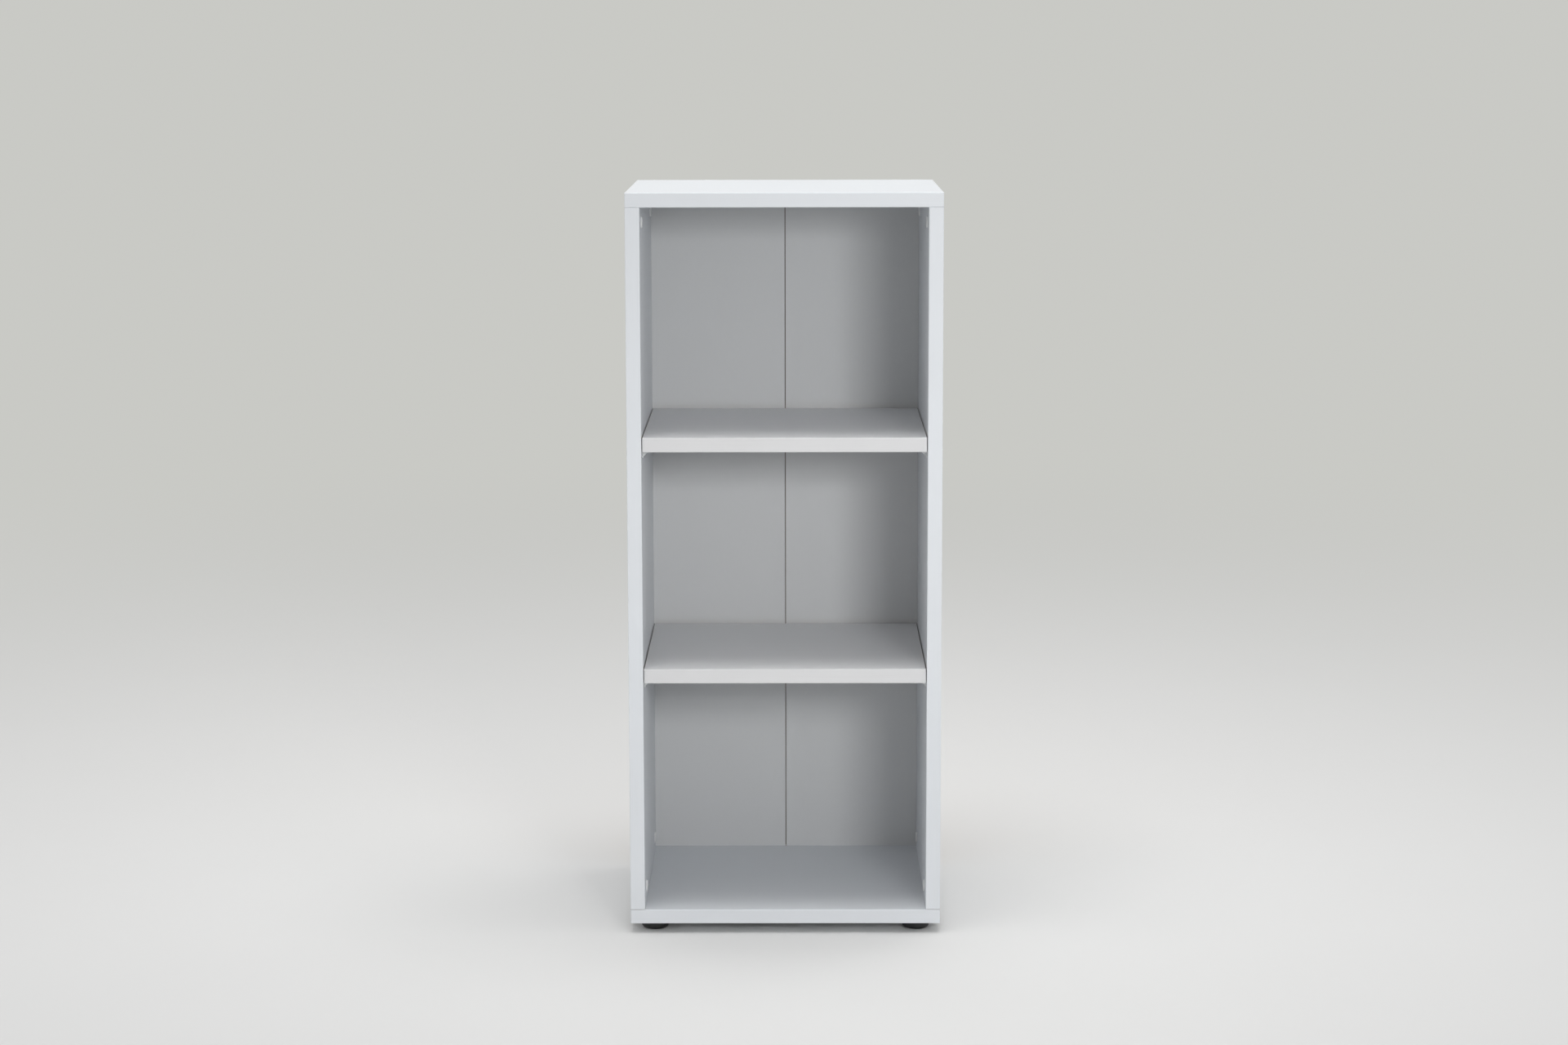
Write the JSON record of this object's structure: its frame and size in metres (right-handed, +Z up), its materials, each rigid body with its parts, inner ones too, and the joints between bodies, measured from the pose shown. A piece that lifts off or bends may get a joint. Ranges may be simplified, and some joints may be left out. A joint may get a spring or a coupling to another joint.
{
  "type": "open bookcase",
  "caption": "Tall open bookcase of white faced board with open bays, loose shelves that draw out, a thin grooved back, drop-in corner joints and screw feet for levelling.",
  "frame": {"origin": "on the floor, under the middle of the case", "axes": "+Z up, +X to the right of someone facing the open front, -Y out of the open front"},
  "size_m": [0.472, 0.4, 1.127],
  "materials": {
    "white_board": "satin",
    "white_band": "satin",
    "white_back": "satin",
    "tape": "matte",
    "zinc": "satin",
    "steel": "satin",
    "white_cap": "satin",
    "clear_plastic": "gloss",
    "black_plastic": "satin"
  },
  "bodies": {
    "carcass": {"bottom_panel": "white_board", "top_panel": "white_board", "left_side_panel": "white_board", "right_side_panel": "white_board", "bottom_front_band": "white_band", "bottom_left_band": "white_band", "bottom_right_band": "white_band", "top_front_band": "white_band", "top_left_band": "white_band", "top_right_band": "white_band", "left_side_band": "white_band", "right_side_band": "white_band", "left_back_panel": "white_back", "right_back_panel": "white_back", "back_tape": "tape", "joint_locks": "zinc", "joint_bolts": "steel", "joint_caps": "white_cap", "lower_shelf_supports": "clear_plastic", "upper_shelf_supports": "clear_plastic", "foot_sleeves": "steel"},
    "upper_shelf": {"upper_shelf": "white_board", "upper_shelf_band": "white_band"},
    "lower_shelf": {"lower_shelf": "white_board", "lower_shelf_band": "white_band"},
    "front_left_stud": {"front_left_foot_stud": "steel"},
    "front_left_pad": {"front_left_foot_pad": "black_plastic"},
    "front_right_stud": {"front_right_foot_stud": "steel"},
    "front_right_pad": {"front_right_foot_pad": "black_plastic"},
    "rear_left_stud": {"rear_left_foot_stud": "steel"},
    "rear_left_pad": {"rear_left_foot_pad": "black_plastic"},
    "rear_right_stud": {"rear_right_foot_stud": "steel"},
    "rear_right_pad": {"rear_right_foot_pad": "black_plastic"}
  },
  "joints": [
    {"name": "upper_shelf_draw", "type": "slide", "parent": "carcass", "child": "upper_shelf", "axis": [0, -1, 0], "range_m": [0, 0.385]},
    {"name": "lower_shelf_draw", "type": "slide", "parent": "carcass", "child": "lower_shelf", "axis": [0, -1, 0], "range_m": [0, 0.385]},
    {"name": "front_left_foot_travel", "type": "slide", "parent": "carcass", "child": "front_left_stud", "axis": [0, 0, -1], "range_m": [0, 0.008]},
    {"name": "front_left_foot_turn", "type": "hinge", "parent": "front_left_stud", "child": "front_left_pad", "pos_m": [-0.2, -0.163, 0], "axis": [0, 0, -1], "range_deg": [0, 2300]},
    {"name": "front_right_foot_travel", "type": "slide", "parent": "carcass", "child": "front_right_stud", "axis": [0, 0, -1], "range_m": [0, 0.008]},
    {"name": "front_right_foot_turn", "type": "hinge", "parent": "front_right_stud", "child": "front_right_pad", "pos_m": [0.2, -0.163, 0], "axis": [0, 0, -1], "range_deg": [0, 2300]},
    {"name": "rear_left_foot_travel", "type": "slide", "parent": "carcass", "child": "rear_left_stud", "axis": [0, 0, -1], "range_m": [0, 0.008]},
    {"name": "rear_left_foot_turn", "type": "hinge", "parent": "rear_left_stud", "child": "rear_left_pad", "pos_m": [-0.2, 0.163, 0], "axis": [0, 0, -1], "range_deg": [0, 2300]},
    {"name": "rear_right_foot_travel", "type": "slide", "parent": "carcass", "child": "rear_right_stud", "axis": [0, 0, -1], "range_m": [0, 0.008]},
    {"name": "rear_right_foot_turn", "type": "hinge", "parent": "rear_right_stud", "child": "rear_right_pad", "pos_m": [0.2, 0.163, 0], "axis": [0, 0, -1], "range_deg": [0, 2300]}
  ],
  "couplings": [
    {"joint": "front_left_foot_travel", "follows": "front_left_foot_turn", "m_per_rad": 0.00019894},
    {"joint": "front_right_foot_travel", "follows": "front_right_foot_turn", "m_per_rad": 0.00019894},
    {"joint": "rear_left_foot_travel", "follows": "rear_left_foot_turn", "m_per_rad": 0.00019894},
    {"joint": "rear_right_foot_travel", "follows": "rear_right_foot_turn", "m_per_rad": 0.00019894}
  ]
}
